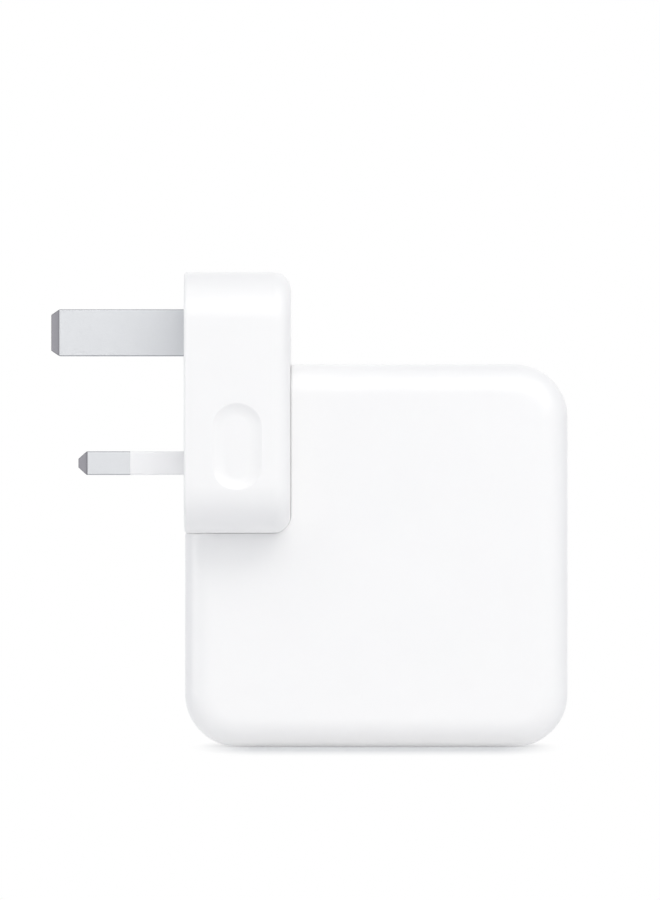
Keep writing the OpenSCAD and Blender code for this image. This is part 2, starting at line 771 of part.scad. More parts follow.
// Cover let into the plug head's back, with the pocket that the stud's head runs in and a window
// in the pocket's far wall for the earth strap's tongue.
module head_cover() color("white") difference() {
    union() {
        head_prism(cover_inset + fit, cover_x + fit, head_back_x);
        box([slot_back_x - slot_wall, -slot_room / 2 - slot_wall, head_foot_z + head_wall + slip],
            [cover_x + fit + tie, slot_room / 2 + slot_wall, stud_z]);
        translate([slot_back_x - slot_wall, 0, stud_z]) rotate([0, 90, 0])
            cylinder(d = slot_room + 2 * slot_wall, h = cover_x + fit + tie - slot_back_x + slot_wall);
    }
    stud_slot(slot_w, cover_x - over, head_back_x + over);
    stud_slot(slot_room, slot_back_x, cover_x);
    box([slot_back_x - slot_wall - over, -strap_w / 2 - slip, stud_z - slip],
        [slot_back_x + over, strap_w / 2 + slip, stud_z + strap_t + slip]);
}

// Strap from the earth pin's back down to a tongue that reaches the stud's head.
strap_w = 3.2;
module earth_strap() color("goldenrod") {
    pad_x = flange_x + fit + flange_t + fit;
    pad_z = earth_z - earth_w / 2;
    back_x = slot_back_x - slot_wall - slip;
    half = strap_w / 2;
    box([pad_x, -half, pad_z], [pad_x + strap_t, half, earth_z + earth_w / 2]);
    box([pad_x, -half, pad_z], [back_x, half, pad_z + strap_t]);
    box([back_x - strap_t, -half, stud_z], [back_x, half, pad_z + strap_t]);
    box([back_x - strap_t, -half, stud_z], [stud_head_x - slip, half, stud_z + strap_t]);
}

// Sheet-metal channel in the pocket: a slotted web that the stud's head hooks behind, and two sides.
module stud_clip() color("gainsboro") {
    foot = head_foot_z + 0.6;
    web_x = cover_x - fit - clip_sheet;
    side_y = slot_room / 2 - fit;
    difference() {
        box([web_x, -side_y, foot], [web_x + clip_sheet, side_y, stud_z]);
        stud_slot(slot_w - 0.3, web_x - over, web_x + clip_sheet + over);
    }
    for (side = [0, 1]) mirror([0, side, 0])
        box([slot_back_x + fit, side_y - clip_sheet + 0.1, foot],
            [web_x + tie / 2, side_y, stud_z]);
}

// ---------------------------------------------------------------- wall pins

// Cutter-free blade along Z from its tip at Z = 0: rounded section, tip tapered on all four sides.
module blade(w, h, len, tip_w, tip_h) {
    intersection() {
        linear_extrude(len) round_rect(w, h, pin_edge);
        tip_wedge(w, h, len, tip_w);
        rotate(90) tip_wedge(h, w, len, tip_h);
    }
}

// Prism as wide as the blade that narrows to tip_w at Z = 0.
module tip_wedge(w, h, len, tip_w) rotate([90, 0, 0]) linear_extrude(h + 2 * over, center = true)
    polygon([
        [-tip_w / 2, 0], [tip_w / 2, 0], [w / 2, pin_tip], [w / 2, len], [-w / 2, len],
        [-w / 2, pin_tip]
    ]);

module at_tip(y, z, len) translate([head_face_x - len, y, z]) facing_right() children();

// Current-carrying pin: full blade, core under the sleeve, shoulder behind the carrier, and a tail.
module current_pin() at_tip(live_pitch / 2, live_z, live_len) {
    bare = live_len - sleeve_len;
    blade(live_w, live_t, bare, live_w - 2.2, 1.6);
    translate([0, 0, bare - tie]) linear_extrude(flange_x - head_face_x + sleeve_len + 2 * tie)
        round_rect(live_core_w, live_core_t, 0.3);
    translate([0, 0, live_len + flange_x - head_face_x + fit]) {
        linear_extrude(flange_t - fit) round_rect(live_core_w + 2, live_core_t + 2, 0.3);
        cylinder(d = tail_dia, h = flange_t + tail_len);
    }
}

module live_pin() color("silver") current_pin();
module neutral_pin() color("silver") mirror([0, 1, 0]) current_pin();

module earth_pin() color("silver") at_tip(0, earth_z, earth_len) {
    blade(earth_t, earth_w, earth_len + flange_x - head_face_x + tie, 2.1, 6.2);
    translate([0, 0, earth_len + flange_x - head_face_x + fit])
        linear_extrude(flange_t) round_rect(earth_t + 2, earth_w + 2, 0.3);
}

module sleeve() translate([head_face_x - sleeve_len + fit, live_pitch / 2, live_z]) facing_right()
    linear_extrude(sleeve_len + face_wall - fit) difference() {
        round_rect(live_w, live_t, pin_edge);
        round_rect(live_core_w + 2 * fit, live_core_t + 2 * fit, 0.3 + fit);
    }

module live_sleeve() color("whitesmoke") sleeve();
module neutral_sleeve() color("whitesmoke") mirror([0, 1, 0]) sleeve();

// Plate behind the pin face that holds the three pins square; heat-staked to the face.
module pin_carrier() color("whitesmoke") {
    low = live_z - live_t / 2 - 1.6;
    high = earth_z + earth_w / 2 + 1.4;
    width = live_pitch + live_w + 4;
    translate([carrier_x, 0, (low + high) / 2]) facing_right() linear_extrude(carrier_t)
        difference() {
            round_rect(width, high - low, 4);
            for (side = [-1, 1]) {
                translate([side * live_pitch / 2, live_z - (low + high) / 2])
                    round_rect(live_core_w + 2 * fit, live_core_t + 2 * fit, 0.3 + fit);
                translate([side * stake_y, stake_z - (low + high) / 2])
                    circle(d = stake_dia + 2 * fit);
            }
            translate([0, earth_z - (low + high) / 2])
                round_rect(earth_t + 2 * fit, earth_w + 2 * fit, pin_edge + fit);
        }
}

// ---------------------------------------------------------------- nose and its contacts

// Figure-of-eight nose that enters the inlet, with a flange that seats on the head's lower wall.
module nose_block() color("whitesmoke") difference() {
    union() {
        translate([inlet_x, 0, head_foot_z - nose_len])
            linear_extrude(nose_top_z - head_foot_z + nose_len) nose_plan(0);
        translate([inlet_x, 0, head_foot_z + head_wall + slip]) linear_extrude(nose_flange_t)
            round_rect(nose_dia + 1.2, inlet_pitch + nose_dia + 3, 2);
    }
    at_inlet_pins() {
        translate([0, 0, contact_foot_z]) cylinder(d = contact_dia + 2 * fit, h = nose_top_z);
        translate([0, 0, head_foot_z - nose_len - over])
            cylinder(d = inlet_pin_dia + 2 * run, h = contact_foot_z);
    }
}

// Slit tube that grips an inlet pin, with a bridge and a tab that is riveted to a wall pin's tail.
tab_w = 4.4;
module contact() {
    tube_y = inlet_pitch / 2;
    pin_y = live_pitch / 2;
    tab_x = tail_x + fit;
    bridge_z = contact_top_z - strap_t;
    difference() {
        union() {
            translate([inlet_x, tube_y, contact_foot_z + fit])
                cylinder(d = contact_dia, h = contact_top_z - contact_foot_z - fit);
            box([tab_x, tube_y, bridge_z], [inlet_x + tab_w / 2, pin_y + tab_w / 2, contact_top_z]);
            box([tab_x, pin_y - tab_w / 2, bridge_z],
                [tab_x + strap_t, pin_y + tab_w / 2, live_z + tab_w / 2]);
        }
        translate([inlet_x, tube_y, contact_foot_z - over])
            cylinder(d = inlet_pin_dia + 2 * fit, h = head_h);
        translate([inlet_x - 0.2, tube_y - contact_dia, contact_foot_z - over])
            cube([0.4, contact_dia, nose_len]);
        translate([tab_x - over, pin_y, live_z]) rotate([0, 90, 0])
            cylinder(d = tail_dia + 2 * fit, h = strap_t + 2 * over);
    }
}

module live_contact() color("goldenrod") contact();
module neutral_contact() color("goldenrod") mirror([0, 1, 0]) contact();

// ---------------------------------------------------------------- nodes

front_shell();
rear_shell();
front_heat_spreader();
rear_heat_spreader();
front_insulator();
rear_insulator();
main_board();
ac_inlet();
inlet_pins();
inlet_leads();
lock_stud();
stud_nut();
earth_tag();
mains_fuse();
choke_core();
choke_windings();
x_capacitor();
y_capacitors();
bridge_rectifier();
bulk_capacitors();
power_switches();
control_chips();
transformer_core();
transformer_bobbin();
transformer_winding();
output_capacitors();
thermal_pads();
port_board();
port_header();
usb_c_shell();
usb_c_tongue();
usb_c_contacts();
head_shell();
head_cover();
nose_block();
stud_clip();
earth_strap();
pin_carrier();
earth_pin();
live_pin();
neutral_pin();
live_sleeve();
neutral_sleeve();
live_contact();
neutral_contact();
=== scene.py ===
# %% [markdown]
# # A laptop power adapter with a lift-off wall plug
#
# The real thing is a square, soft-cornered housing in glossy white plastic that stands on its
# lower edge. A wall-plug head slides down into a dock that is cut out of the housing's upper
# corner, hangs there on a metal stud, and brings the mains in through a small two-pin inlet.
#
# A measured model of every part is loaded first. It fixes each place and size. Blender then gives
# the parts that can be seen smooth skins, small edge radii, mould texture, plated metal and soft
# studio light. Lengths are written in millimetres and turned into metres in one place. X points
# to the right, Y to the back and Z up, and the origin is the middle of the housing's foot.

# %% The measured model
import json
import math

import bmesh
import bpy
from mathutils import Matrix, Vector


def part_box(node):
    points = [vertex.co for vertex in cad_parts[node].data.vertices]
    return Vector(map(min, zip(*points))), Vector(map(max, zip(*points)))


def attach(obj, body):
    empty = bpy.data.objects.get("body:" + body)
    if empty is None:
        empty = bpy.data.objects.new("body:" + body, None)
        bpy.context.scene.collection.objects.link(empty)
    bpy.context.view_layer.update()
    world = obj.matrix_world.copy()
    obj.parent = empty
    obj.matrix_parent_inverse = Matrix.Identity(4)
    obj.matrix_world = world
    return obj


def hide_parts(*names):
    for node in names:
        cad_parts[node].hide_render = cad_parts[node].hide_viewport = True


MM = 0.001
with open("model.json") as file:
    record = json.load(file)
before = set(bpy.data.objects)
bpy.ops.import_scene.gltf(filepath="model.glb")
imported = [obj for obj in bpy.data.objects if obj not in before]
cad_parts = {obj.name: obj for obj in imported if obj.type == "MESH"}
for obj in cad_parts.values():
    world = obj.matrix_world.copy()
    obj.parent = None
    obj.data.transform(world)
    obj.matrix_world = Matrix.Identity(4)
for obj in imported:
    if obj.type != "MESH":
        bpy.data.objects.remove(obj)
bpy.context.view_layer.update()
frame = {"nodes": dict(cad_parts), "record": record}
nodes = frame["nodes"]


def corners_of(node):
    """Lowest and highest corner of a node of the model, in millimetres."""
    low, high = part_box(node)
    return [c / MM for c in low], [c / MM for c in high]


# %% [markdown]
# ## Shader maths as plain Python
#
# A finish is a graph of nodes. Written out node by node it is hard to read, so a small class wraps
# one socket and lets plus, minus and times build the Math nodes. Every other node comes from one
# method that takes the node's type, its settings and the values of its sockets, and a value may be
# a number, a colour or another node's socket.

# %% Signals and graphs
class Signal:
    """What comes out of one socket of a graph."""

    def __init__(self, graph, socket):
        self.graph = graph
        self.socket = socket

    def maths(self, operation, first, second):
        return self.graph.node("ShaderNodeMath", {"operation": operation}, {0: first, 1: second})

    def __add__(self, other):
        return self.maths("ADD", self, other)

    def __sub__(self, other):
        return self.maths("SUBTRACT", self, other)

    def __mul__(self, other):
        return self.maths("MULTIPLY", self, other)

    def __rsub__(self, other):
        return self.maths("SUBTRACT", other, self)

    __radd__ = __add__
    __rmul__ = __mul__


class Graph:
    """The nodes of a material or of the world."""

    def __init__(self, owner):
        owner.use_nodes = True
        self.owner = owner
        self.tree = owner.node_tree
        self.tree.nodes.clear()

    def node(self, kind, settings=None, sockets=None, output=0):
        """Adds a node: its settings first, then the values or links of its sockets."""
        made = self.tree.nodes.new(kind)
        for key, value in (settings or {}).items():
            if key == "stops":
                self.set_stops(made.color_ramp, value)
            else:
                setattr(made, key, value)
        for key, value in (sockets or {}).items():
            if isinstance(value, Signal):
                self.tree.links.new(value.socket, made.inputs[key])
            else:
                made.inputs[key].default_value = value
        if made.outputs:
            return Signal(self, made.outputs[output])

    def set_stops(self, ramp, stops):
        """Grey stops of a ramp, as (place, level) pairs."""
        while len(ramp.elements) < len(stops):
            ramp.elements.new(0.5)
        for element, (place, level) in zip(ramp.elements, stops):
            element.position = place
            element.color = (level, level, level, 1)


print("graphs ready")

# %% [markdown]
# ## What the finishes share
#
# None of these surfaces is perfectly even. A moulding has a faint mottle where the plastic flowed,
# and plating has a fine grain. Noise in the part's own coordinates gives both at a true size:
# a scale of 1000 makes features of about a millimetre. Object coordinates are used, so the
# pattern stays on the part when it moves.

# %% Noise, mixing and bump
def own_place(graph):
    """Place on the part, in metres, in the part's own coordinates."""
    return graph.node("ShaderNodeTexCoord", output="Object")


def noise(graph, scale, detail=3.0, stretch=(1, 1, 1)):
    """Fractal noise between 0 and 1 whose features are about one metre divided by the scale."""
    place = graph.node("ShaderNodeMapping", None, {"Vector": own_place(graph), "Scale": stretch})
    return graph.node("ShaderNodeTexNoise", None,
                      {"Vector": place, "Scale": scale, "Detail": detail})


def blend(graph, share, first, second):
    """Colour that goes from the first to the second as the share goes from 0 to 1."""
    # A Mix node has a set of sockets for each type of data. In RGBA the colours are 6 and 7.
    return graph.node("ShaderNodeMix", {"data_type": "RGBA"},
                      {0: share, 6: (*first, 1), 7: (*second, 1)}, output=2)


def relief(graph, height, depth):
    """Normal of a surface whose height goes from 0 to the depth, in millimetres."""
    return graph.node("ShaderNodeBump", None,
                      {"Height": height, "Distance": depth * MM, "Strength": 1.0})


def surface(name, build):
    """Material whose shader's sockets are what build(graph) returns."""
    material = bpy.data.materials.new(name)
    graph = Graph(material)
    shader = graph.node("ShaderNodeBsdfPrincipled", None, build(graph))
    graph.node("ShaderNodeOutputMaterial", None, {"Surface": shader})
    return material


def tint(colour, factor):
    """Colour made lighter or darker by a factor."""
    return tuple(min(1.0, c * factor) for c in colour)


print("helpers ready")

# %% [markdown]
# ## The glossy white plastic
#
# Housing and plug head are moulded in a bright white polycarbonate blend with a polished mould.
# Up close the gloss isn't a mirror: there is a very shallow orange-peel wave a few millimetres
# long and a fine texture under it. A broad noise moves the white by half a per cent, a finer one
# moves the roughness, and both make the bump. The inner parts get the same recipe in satin.

# %% Moulded plastics
plastic_ior = 1.53


def moulded(colour, roughness, mottle=0.006, texture=0.0015, wave=0.004):
    """Plastic from a mould, in its colour, with the depths of its texture and its wave in mm."""
    depth = wave + texture

    def build(graph):
        flow = noise(graph, 90)
        fine = noise(graph, 4500, 2.0)
        swell = noise(graph, 260, 1.0)
        return {
            "Base Color": blend(graph, flow, tint(colour, 1 - mottle), tint(colour, 1 + mottle)),
            "Roughness": roughness + (fine - 0.5) * 0.08 + (flow - 0.5) * 0.05,
            "Normal": relief(graph, swell * (wave / depth) + fine * (texture / depth), depth),
            "IOR": plastic_ior,
        }
    return build


finishes = {
    "housing_plastic": surface("housing_plastic", moulded((0.93, 0.93, 0.93), 0.3)),
    # The plug head is the same plastic as the housing. Its white is set a little darker as painted
    # shade, because it stands nearer the lamps.
    "head_plastic": surface("head_plastic", moulded((0.92, 0.92, 0.92), 0.3)),
    "inner_plastic": surface("inner_plastic", moulded((0.86, 0.86, 0.845), 0.42, 0.01)),
    "sleeve_plastic": surface("sleeve_plastic", moulded((0.92, 0.92, 0.925), 0.4, 0.01, 0.003)),
    "black_plastic": surface("black_plastic", moulded((0.03, 0.03, 0.034), 0.45, 0.1, 0.006)),
    "lead_insulation": surface("lead_insulation", moulded((0.25, 0.12, 0.07), 0.5, 0.05)),
    "insulating_sheet": surface("insulating_sheet", moulded((0.8, 0.76, 0.62), 0.35, 0.03)),
    "thermal_pad": surface("thermal_pad", moulded((0.55, 0.57, 0.6), 0.75, 0.05, 0.02)),
    "capacitor_film": surface("capacitor_film", moulded((0.8, 0.62, 0.12), 0.4, 0.03)),
    "capacitor_blue": surface("capacitor_blue", moulded((0.08, 0.22, 0.5), 0.3, 0.08, 0.01)),
}
print("plastics:", len(finishes))

# %% [markdown]
# ## The metals
#
# The wall pins are nickel-plated brass, bright but not polished: plating keeps the fine grain of
# the drawn bar, so highlights are broad and speckled. The end of each pin is struck to a taper in
# a die. The struck facets get a much darker metal, which is painted shade for the darker
# surroundings that they reflect, and the long corners get a darker metal too, painted shade for
# the dark lines along their edges. Stud, clip and port are smoother plated steel. Brass, gold
# flash and aluminium differ in colour and grain only, so one function makes them all.

# %% Plated and bare metals
def plated(colour, roughness, grain=0.02, depth=0.002, scale=5200, stretch=(1, 1, 1)):
    """Metal with a grain that moves its brightness, its roughness and its surface."""
    def build(graph):
        speckle = noise(graph, scale, 4.0, stretch)
        cloud = noise(graph, 160)
        return {
            "Base Color": blend(graph, speckle * 0.5 + cloud * 0.5, tint(colour, 1 - grain),
                                tint(colour, 1 + grain)),
            "Metallic": 1.0,
            "Roughness": roughness + (speckle - 0.5) * 0.12 + (cloud - 0.5) * 0.06,
            "Normal": relief(graph, speckle, depth),
        }
    return build


along_the_pin = (0.35, 1, 1)
metals = {
    "pin_metal": plated((0.63, 0.645, 0.672), 0.5, 0.06, 0.004, 5200, along_the_pin),
    # Painted shade: a dark metal for the struck tips, standing in for the darker surroundings they
    # reflect.
    "tip_painted_shade": plated((0.19, 0.19, 0.212), 0.42, 0.08, 0.004),
    # Painted shade: a darker metal for the long corners, standing in for the dark lines that the
    # edges reflect.
    "edge_painted_shade": plated((0.38, 0.39, 0.42), 0.45, 0.08, 0.004),
    "plated_steel": plated((0.72, 0.72, 0.73), 0.18),
    "contact_metal": plated((0.76, 0.75, 0.73), 0.16),
    "contact_brass": plated((0.72, 0.56, 0.28), 0.3),
    "gold_contact": plated((0.83, 0.66, 0.33), 0.2),
    "aluminium_plate": plated((0.75, 0.76, 0.77), 0.38, 0.04, 0.004, 3000, (1, 1, 0.06)),
    "capacitor_can": plated((0.74, 0.74, 0.75), 0.3, 0.03, 0.003, 3000, (1, 0.1, 1)),
}
finishes.update({name: surface(name, build) for name, build in metals.items()})
print("metals:", len(metals))

# %% [markdown]
# ## Parts on the circuit board
#
# These sit inside the sealed housing and only show when it is opened, but each has a plain mark of
# what it is: copper turns on the choke, overlapping tape on the transformer, a rib of light down
# a capacitor's sleeve, pressed grain on ferrite, and tracks under the board's green lacquer. A
# wave texture draws anything that repeats.

# %% Board, ferrite, copper and tape
def bands(graph, scale, direction, distortion=0.0):
    """Wave of bands across one axis, between 0 and 1."""
    return graph.node("ShaderNodeTexWave", {"bands_direction": direction},
                      {"Vector": own_place(graph), "Scale": scale, "Distortion": distortion},
                      output="Fac")


def banded(first, second, roughness, scale, direction, depth, metallic=0.0):
    """Surface wound or lapped in bands: turns of wire, tape or a shrink sleeve's ribs."""
    def build(graph):
        band = bands(graph, scale, direction, 0.4)
        return {
            "Base Color": blend(graph, band, first, second),
            "Metallic": metallic,
            "Roughness": roughness + (noise(graph, 3000) - 0.5) * 0.1,
            "Normal": relief(graph, band, depth),
        }
    return build


def lacquered_board(graph):
    """Green lacquer that is lighter and higher where a copper track runs under it."""
    cells = graph.node("ShaderNodeTexVoronoi", {"feature": "DISTANCE_TO_EDGE"},
                       {"Vector": own_place(graph), "Scale": 260, "Randomness": 0.4})
    track = graph.node("ShaderNodeValToRGB", {"stops": [(0.10, 1), (0.14, 0)]}, {"Fac": cells})
    return {
        "Base Color": blend(graph, track, (0.03, 0.17, 0.09), (0.07, 0.29, 0.15)),
        "Roughness": 0.32 + noise(graph, 900) * 0.1,
        "Normal": relief(graph, track * 0.8 + noise(graph, 4000) * 0.2, 0.03),
    }


board_parts = {
    "circuit_board": lacquered_board,
    "ferrite": moulded((0.09, 0.09, 0.095), 0.6, 0.15, 0.02),
    "copper_wire": banded((0.5, 0.22, 0.1), (0.76, 0.4, 0.22), 0.3, 700, "Y", 0.12, 1.0),
    "winding_tape": banded((0.74, 0.6, 0.1), (0.84, 0.7, 0.18), 0.4, 120, "Y", 0.03),
    "capacitor_sleeve": banded((0.04, 0.05, 0.14), (0.06, 0.08, 0.2), 0.28, 40, "X", 0.01),
}
finishes.update({name: surface(name, build) for name, build in board_parts.items()})
print("finishes:", len(finishes))

# %% [markdown]
# ## Skins from rings
#
# Nearly every moulded or machined part here is a run of flat outlines: a pin is a rectangle that
# grows from its tip, and the housing is a square whose outline draws in as it rolls over to its
# face. So one function skins a list of rings. It takes outlines with equally many points, joins
# neighbours with quads, and closes the ends or joins them into a tube. The rolled edges come out
# with clean rows of quads that shade evenly, which a bevel on a box doesn't give.

# %% Outlines and lofts
def arc(centre, radius, start, end, steps=8):
    """Points round part of a circle, from one angle to another in degrees."""
    turns = [math.radians(start + (end - start) * step / steps) for step in range(steps + 1)]
    return [(centre[0] + radius * math.cos(t), centre[1] + radius * math.sin(t)) for t in turns]


def rounded(width, height, radius, steps=8):
    """Rectangle with round corners, centred on 0, 0; half its width as radius rounds its ends."""
    # A hair less than half the width keeps two points of the outline from meeting.
    radius = min(radius, min(width, height) / 2 - 0.001)
    points = []
    for side, up, start in ((1, 1, 0), (-1, 1, 90), (-1, -1, 180), (1, -1, 270)):
        centre = (side * (width / 2 - radius), up * (height / 2 - radius))
        points += arc(centre, radius, start, start + 90, steps)
    return points


def rolled(radius, steps, fullness=2.0):
    """(inset, depth) pairs from a side wall round an edge to the face; 2 is a circle."""
    pairs = []
    for step in range(steps + 1):
        turn = math.pi / 2 * step / steps
        pairs.append((radius * (1 - math.cos(turn) ** (2 / fullness)),
                      radius * (1 - math.sin(turn) ** (2 / fullness))))
    return pairs


def ring(outline, axis, level, centre=(0, 0)):
    """Outline set square to an axis: X carries (Y, Z), Y carries (X, Z) and Z carries (X, Y)."""
    moved = [(a + centre[0], b + centre[1]) for a, b in outline]
    if axis == "X":
        return [(level, a, b) for a, b in moved]
    if axis == "Y":
        return [(a, level, b) for a, b in moved]
    return [(a, b, level) for a, b in moved]


def loft(name, rings, ends="cap"):
    """Skin through rings of equally many points, with its ends capped or joined."""
    grid = bmesh.new()
    rows = [[grid.verts.new([c * MM for c in point]) for point in points] for points in rings]
    if ends == "cap":
        grid.faces.new(rows[0])
        grid.faces.new(rows[-1])
    else:
        rows.append(rows[0])
    count = len(rows[0])
    for row, following in zip(rows, rows[1:]):
        for k in range(count):
            after = (k + 1) % count
            grid.faces.new((row[k], row[after], following[after], following[k]))
    bmesh.ops.remove_doubles(grid, verts=grid.verts, dist=0.0001 * MM)
    bmesh.ops.recalc_face_normals(grid, faces=grid.faces)
    mesh = bpy.data.meshes.new(name)
    grid.to_mesh(mesh)
    grid.free()
    piece = bpy.data.objects.new(name, mesh)
    bpy.context.scene.collection.objects.link(piece)
    return piece


def turned(name, profile, axis, centre, steps=48):
    """Part from a lathe: a profile of (radius, level) pairs, turned about an axis."""
    circle = arc((0, 0), 1.0, 0, 360 - 360 / steps, steps - 1)
    return loft(name, [ring([(radius * a, radius * b) for a, b in circle], axis, level, centre)
                       for radius, level in profile])


print("lofts ready")

# %% [markdown]
# ## Openings with rounded mouths
#
# A moulded opening never has a knife edge. The tool that cuts it flares out by a fraction of a
# millimetre at the surface, so it is made as a loft too and taken away with an exact Boolean. The
# result is baked into the mesh at once, because a stack of live Booleans is slow and fragile.
# Shading is smooth everywhere except across real creases, and weighted normals keep the broad
# faces flat right up to their rounded edges.

# %% Cutting and smoothing
def grown(outline, *sizes):
    """Outline as a function of how far it grows all round; sizes are what outline takes."""
    width, height, *radius = sizes
    return lambda grow: outline(width + 2 * grow, height + 2 * grow, *[r + grow for r in radius])


def opening(section, axis, mouth, inward, depth, flare, centre=(0, 0)):
    """Cutter from 1 mm outside the mouth's level to a depth; section(grow) gives its outline."""
    stations = [(flare, -1.0)] + rolled(flare, 5)[::-1] + [(0.0, depth)]
    return loft("cutter", [ring(section(grow), axis, mouth + inward * down, centre)
                           for grow, down in stations])


def combine(piece, others, operation="DIFFERENCE"):
    """Cuts the others out of a piece, or joins them to it, and bakes the result."""
    for other in others:
        modifier = piece.modifiers.new("combine", "BOOLEAN")
        modifier.operation = operation
        modifier.solver = "EXACT"
        modifier.object = other
    scene_now = bpy.context.evaluated_depsgraph_get()
    baked = bpy.data.meshes.new_from_object(piece.evaluated_get(scene_now))
    piece.modifiers.clear()
    piece.data = baked
    baked.name = piece.name
    for other in others:
        bpy.data.objects.remove(other)
    return piece


def smooth(piece, crease=32.0):
    """Smooth shading with creases only where faces meet at more than an angle."""
    piece.data.polygons.foreach_set("use_smooth", [True] * len(piece.data.polygons))
    piece.data.set_sharp_from_angle(angle=math.radians(crease))
    even = piece.modifiers.new("even shading", "WEIGHTED_NORMAL")
    even.keep_sharp = True


def finish(piece, slot):
    """Smooths a piece and gives it the finish of a slot of the record."""
    smooth(piece)
    piece.data.materials.clear()
    piece.data.materials.append(finishes[slot])
    print(piece.name, "faces:", len(piece.data.polygons))


print("tools ready")

# %% [markdown]
# ## The housing
#
# Two shells meet in the middle of the thickness. Seen from the front the outline is a square with
# 9 mm corners from which the dock is cut, and towards each face the outer edge rolls over on a
# 5 mm radius while the dock's walls run straight through. So the outline is drawn with two
# insets, one for the outer edge and one for the dock. The roll is drawn slightly fuller than a
# circle, which is how such edges are blended to avoid a hard line in the highlight. The plug head
# has 0.15 mm of play in its dock. That much would show as a black line, so the skin's dock leaves
# a finer gap.

# %% Outline of the housing
(_, _, foot), (right, rear, top) = corners_of("rear_shell")
(face_x, head_front, head_foot), (head_back, head_rear, head_top) = corners_of("head_shell")
seam_gap = 0.05
dock_x = head_back + seam_gap
dock_z = head_foot - seam_gap
dock_fillet = 3.15
housing_corner = 9.0
housing_roll = 5.0
roll_fullness = 2.12
wall = 2.0
play = 0.1
crisp = 0.35


def housing_outline(inset, dock_inset):
    """The housing from the front: outer edge and dock, each drawn in by its own inset."""
    side, low, high = right - inset, foot + inset, top - inset
    floor, stop = dock_z - dock_inset, dock_x + dock_inset
    corner = housing_corner - inset
    fillet = dock_fillet + dock_inset
    points = arc((crisp - side, floor - crisp), crisp, 90, 180, 5)
    points += arc((corner - side, low + corner), corner, 180, 270, 24)
    points += arc((side - corner, low + corner), corner, 270, 360, 24)
    points += arc((side - corner, high - corner), corner, 0, 90, 24)
    points += arc((stop + crisp, high - crisp), crisp, 90, 180, 5)
    points += arc((stop - fillet, floor + fillet), fillet, 0, -90, 12)
    return points


print("outline points:", len(housing_outline(0, 0)))

# %% [markdown]
# ## One shell, drawn twice
#
# Each shell is one loft that starts at the middle of its face, goes out over the rolled edge,
# down the wall to the split, over the rim and back along the inside. At the split both rims are
# eased by a tenth of a millimetre, which leaves the fine line that runs round the real housing.
# The front shell has a tongue and the rear one a rebate, so they are told apart by their rims.

# %% The two housing shells
seam_ease = 0.1
brink = 0.2
tongue, rebate = 1.2, 1.0


def housing_shell(name, towards, rim):
    """Hollow shell on one side of the split; rim holds (inset, distance from the split) pairs."""
    stations = []
    for inset, depth in rolled(housing_roll, 18, roll_fullness)[::-1]:
        eased = brink - math.sqrt(brink ** 2 - (brink - min(depth, brink)) ** 2)
        stations.append((inset, eased, rear - depth))
    stations += [(0, 0, seam_ease), (seam_ease, seam_ease, 0)]
    stations += [(inset, inset, distance) for inset, distance in rim]
    for inset, depth in rolled(housing_roll - wall, 8):
        stations.append((wall + inset, wall, rear - wall - depth))
    return loft(name, [ring(housing_outline(inset, dock_inset), "Y", towards * distance)
                       for inset, dock_inset, distance in stations])


front_rim = [(rebate + play / 2, 0), (rebate + play / 2, -tongue),
             (wall - play / 2, -tongue), (wall, 0)]
rear_rim = [(rebate, 0), (rebate, tongue + play), (wall, tongue + play)]
shells = {
    "front_shell": housing_shell("housing_front", -1, front_rim),
    "rear_shell": housing_shell("housing_rear", 1, rear_rim),
}
print("shells:", [shell.name for shell in shells.values()])

# %% [markdown]
# ## What the housing's walls let through
#
# Three openings straddle the split: the mains inlet in the dock's floor, the hole for the locking
# stud in the dock's wall, and the charging port in the far side, whose slot stands upright. Each
# is given as a width, a length and a corner radius.

# %% Inlet, stud and port openings
def middle_of(node, axis):
    """Middle of a node's box along axis 0, 1 or 2, in millimetres."""
    low, high = corners_of(node)
    return (low[axis] + high[axis]) / 2


inlet_x = middle_of("inlet_pins", 0)
stud_z = middle_of("lock_stud", 2)
port_z = middle_of("usb_c_shell", 2)
print("inlet x:", round(inlet_x, 2), "stud z:", round(stud_z, 2), "port z:", round(port_z, 2))

through = 4.0
inlet_mouth = (10.1, 19.1, 3)
stud_hole = (5.9, 5.9, 2.95)
port_slot = (3.28, 9.06, 1.64)


def shell_cutters():
    """Cutters for the inlet, the stud and the port; each goes through the wall."""
    return [
        opening(grown(rounded, *inlet_mouth), "Z", dock_z, -1, through, 0.25, (inlet_x, 0)),
        opening(grown(rounded, *stud_hole), "X", dock_x, 1, through, 0.15, (0, stud_z)),
        opening(grown(rounded, *port_slot), "X", right, -1, through, 0.3, (0, port_z)),
    ]


for node, shell in shells.items():
    combine(shell, shell_cutters())
    finish(shell, "housing_plastic")
    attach(shell, "adapter")
    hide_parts(node)

# %% [markdown]
# ## The mains inlet
#
# In the dock's floor sits a block with a figure-of-eight well and two round pins, the usual
# two-pole appliance inlet. It shows when the plug head is lifted off. The figure of eight is two
# arcs that stop at the waist, and the same outline, a little smaller, makes the plug head's nose.

# %% Inlet block
inlet_pitch = 8.6
well = (7.9, 6.1)


def figure_of_eight(width, waist):
    """Two round lobes along the second axis, joined by a straight waist."""
    turn = math.degrees(math.acos(waist / width))
    upper = arc((0, inlet_pitch / 2), width / 2, -turn, 180 + turn, 28)
    return upper + arc((0, -inlet_pitch / 2), width / 2, 180 - turn, 360 + turn, 28)


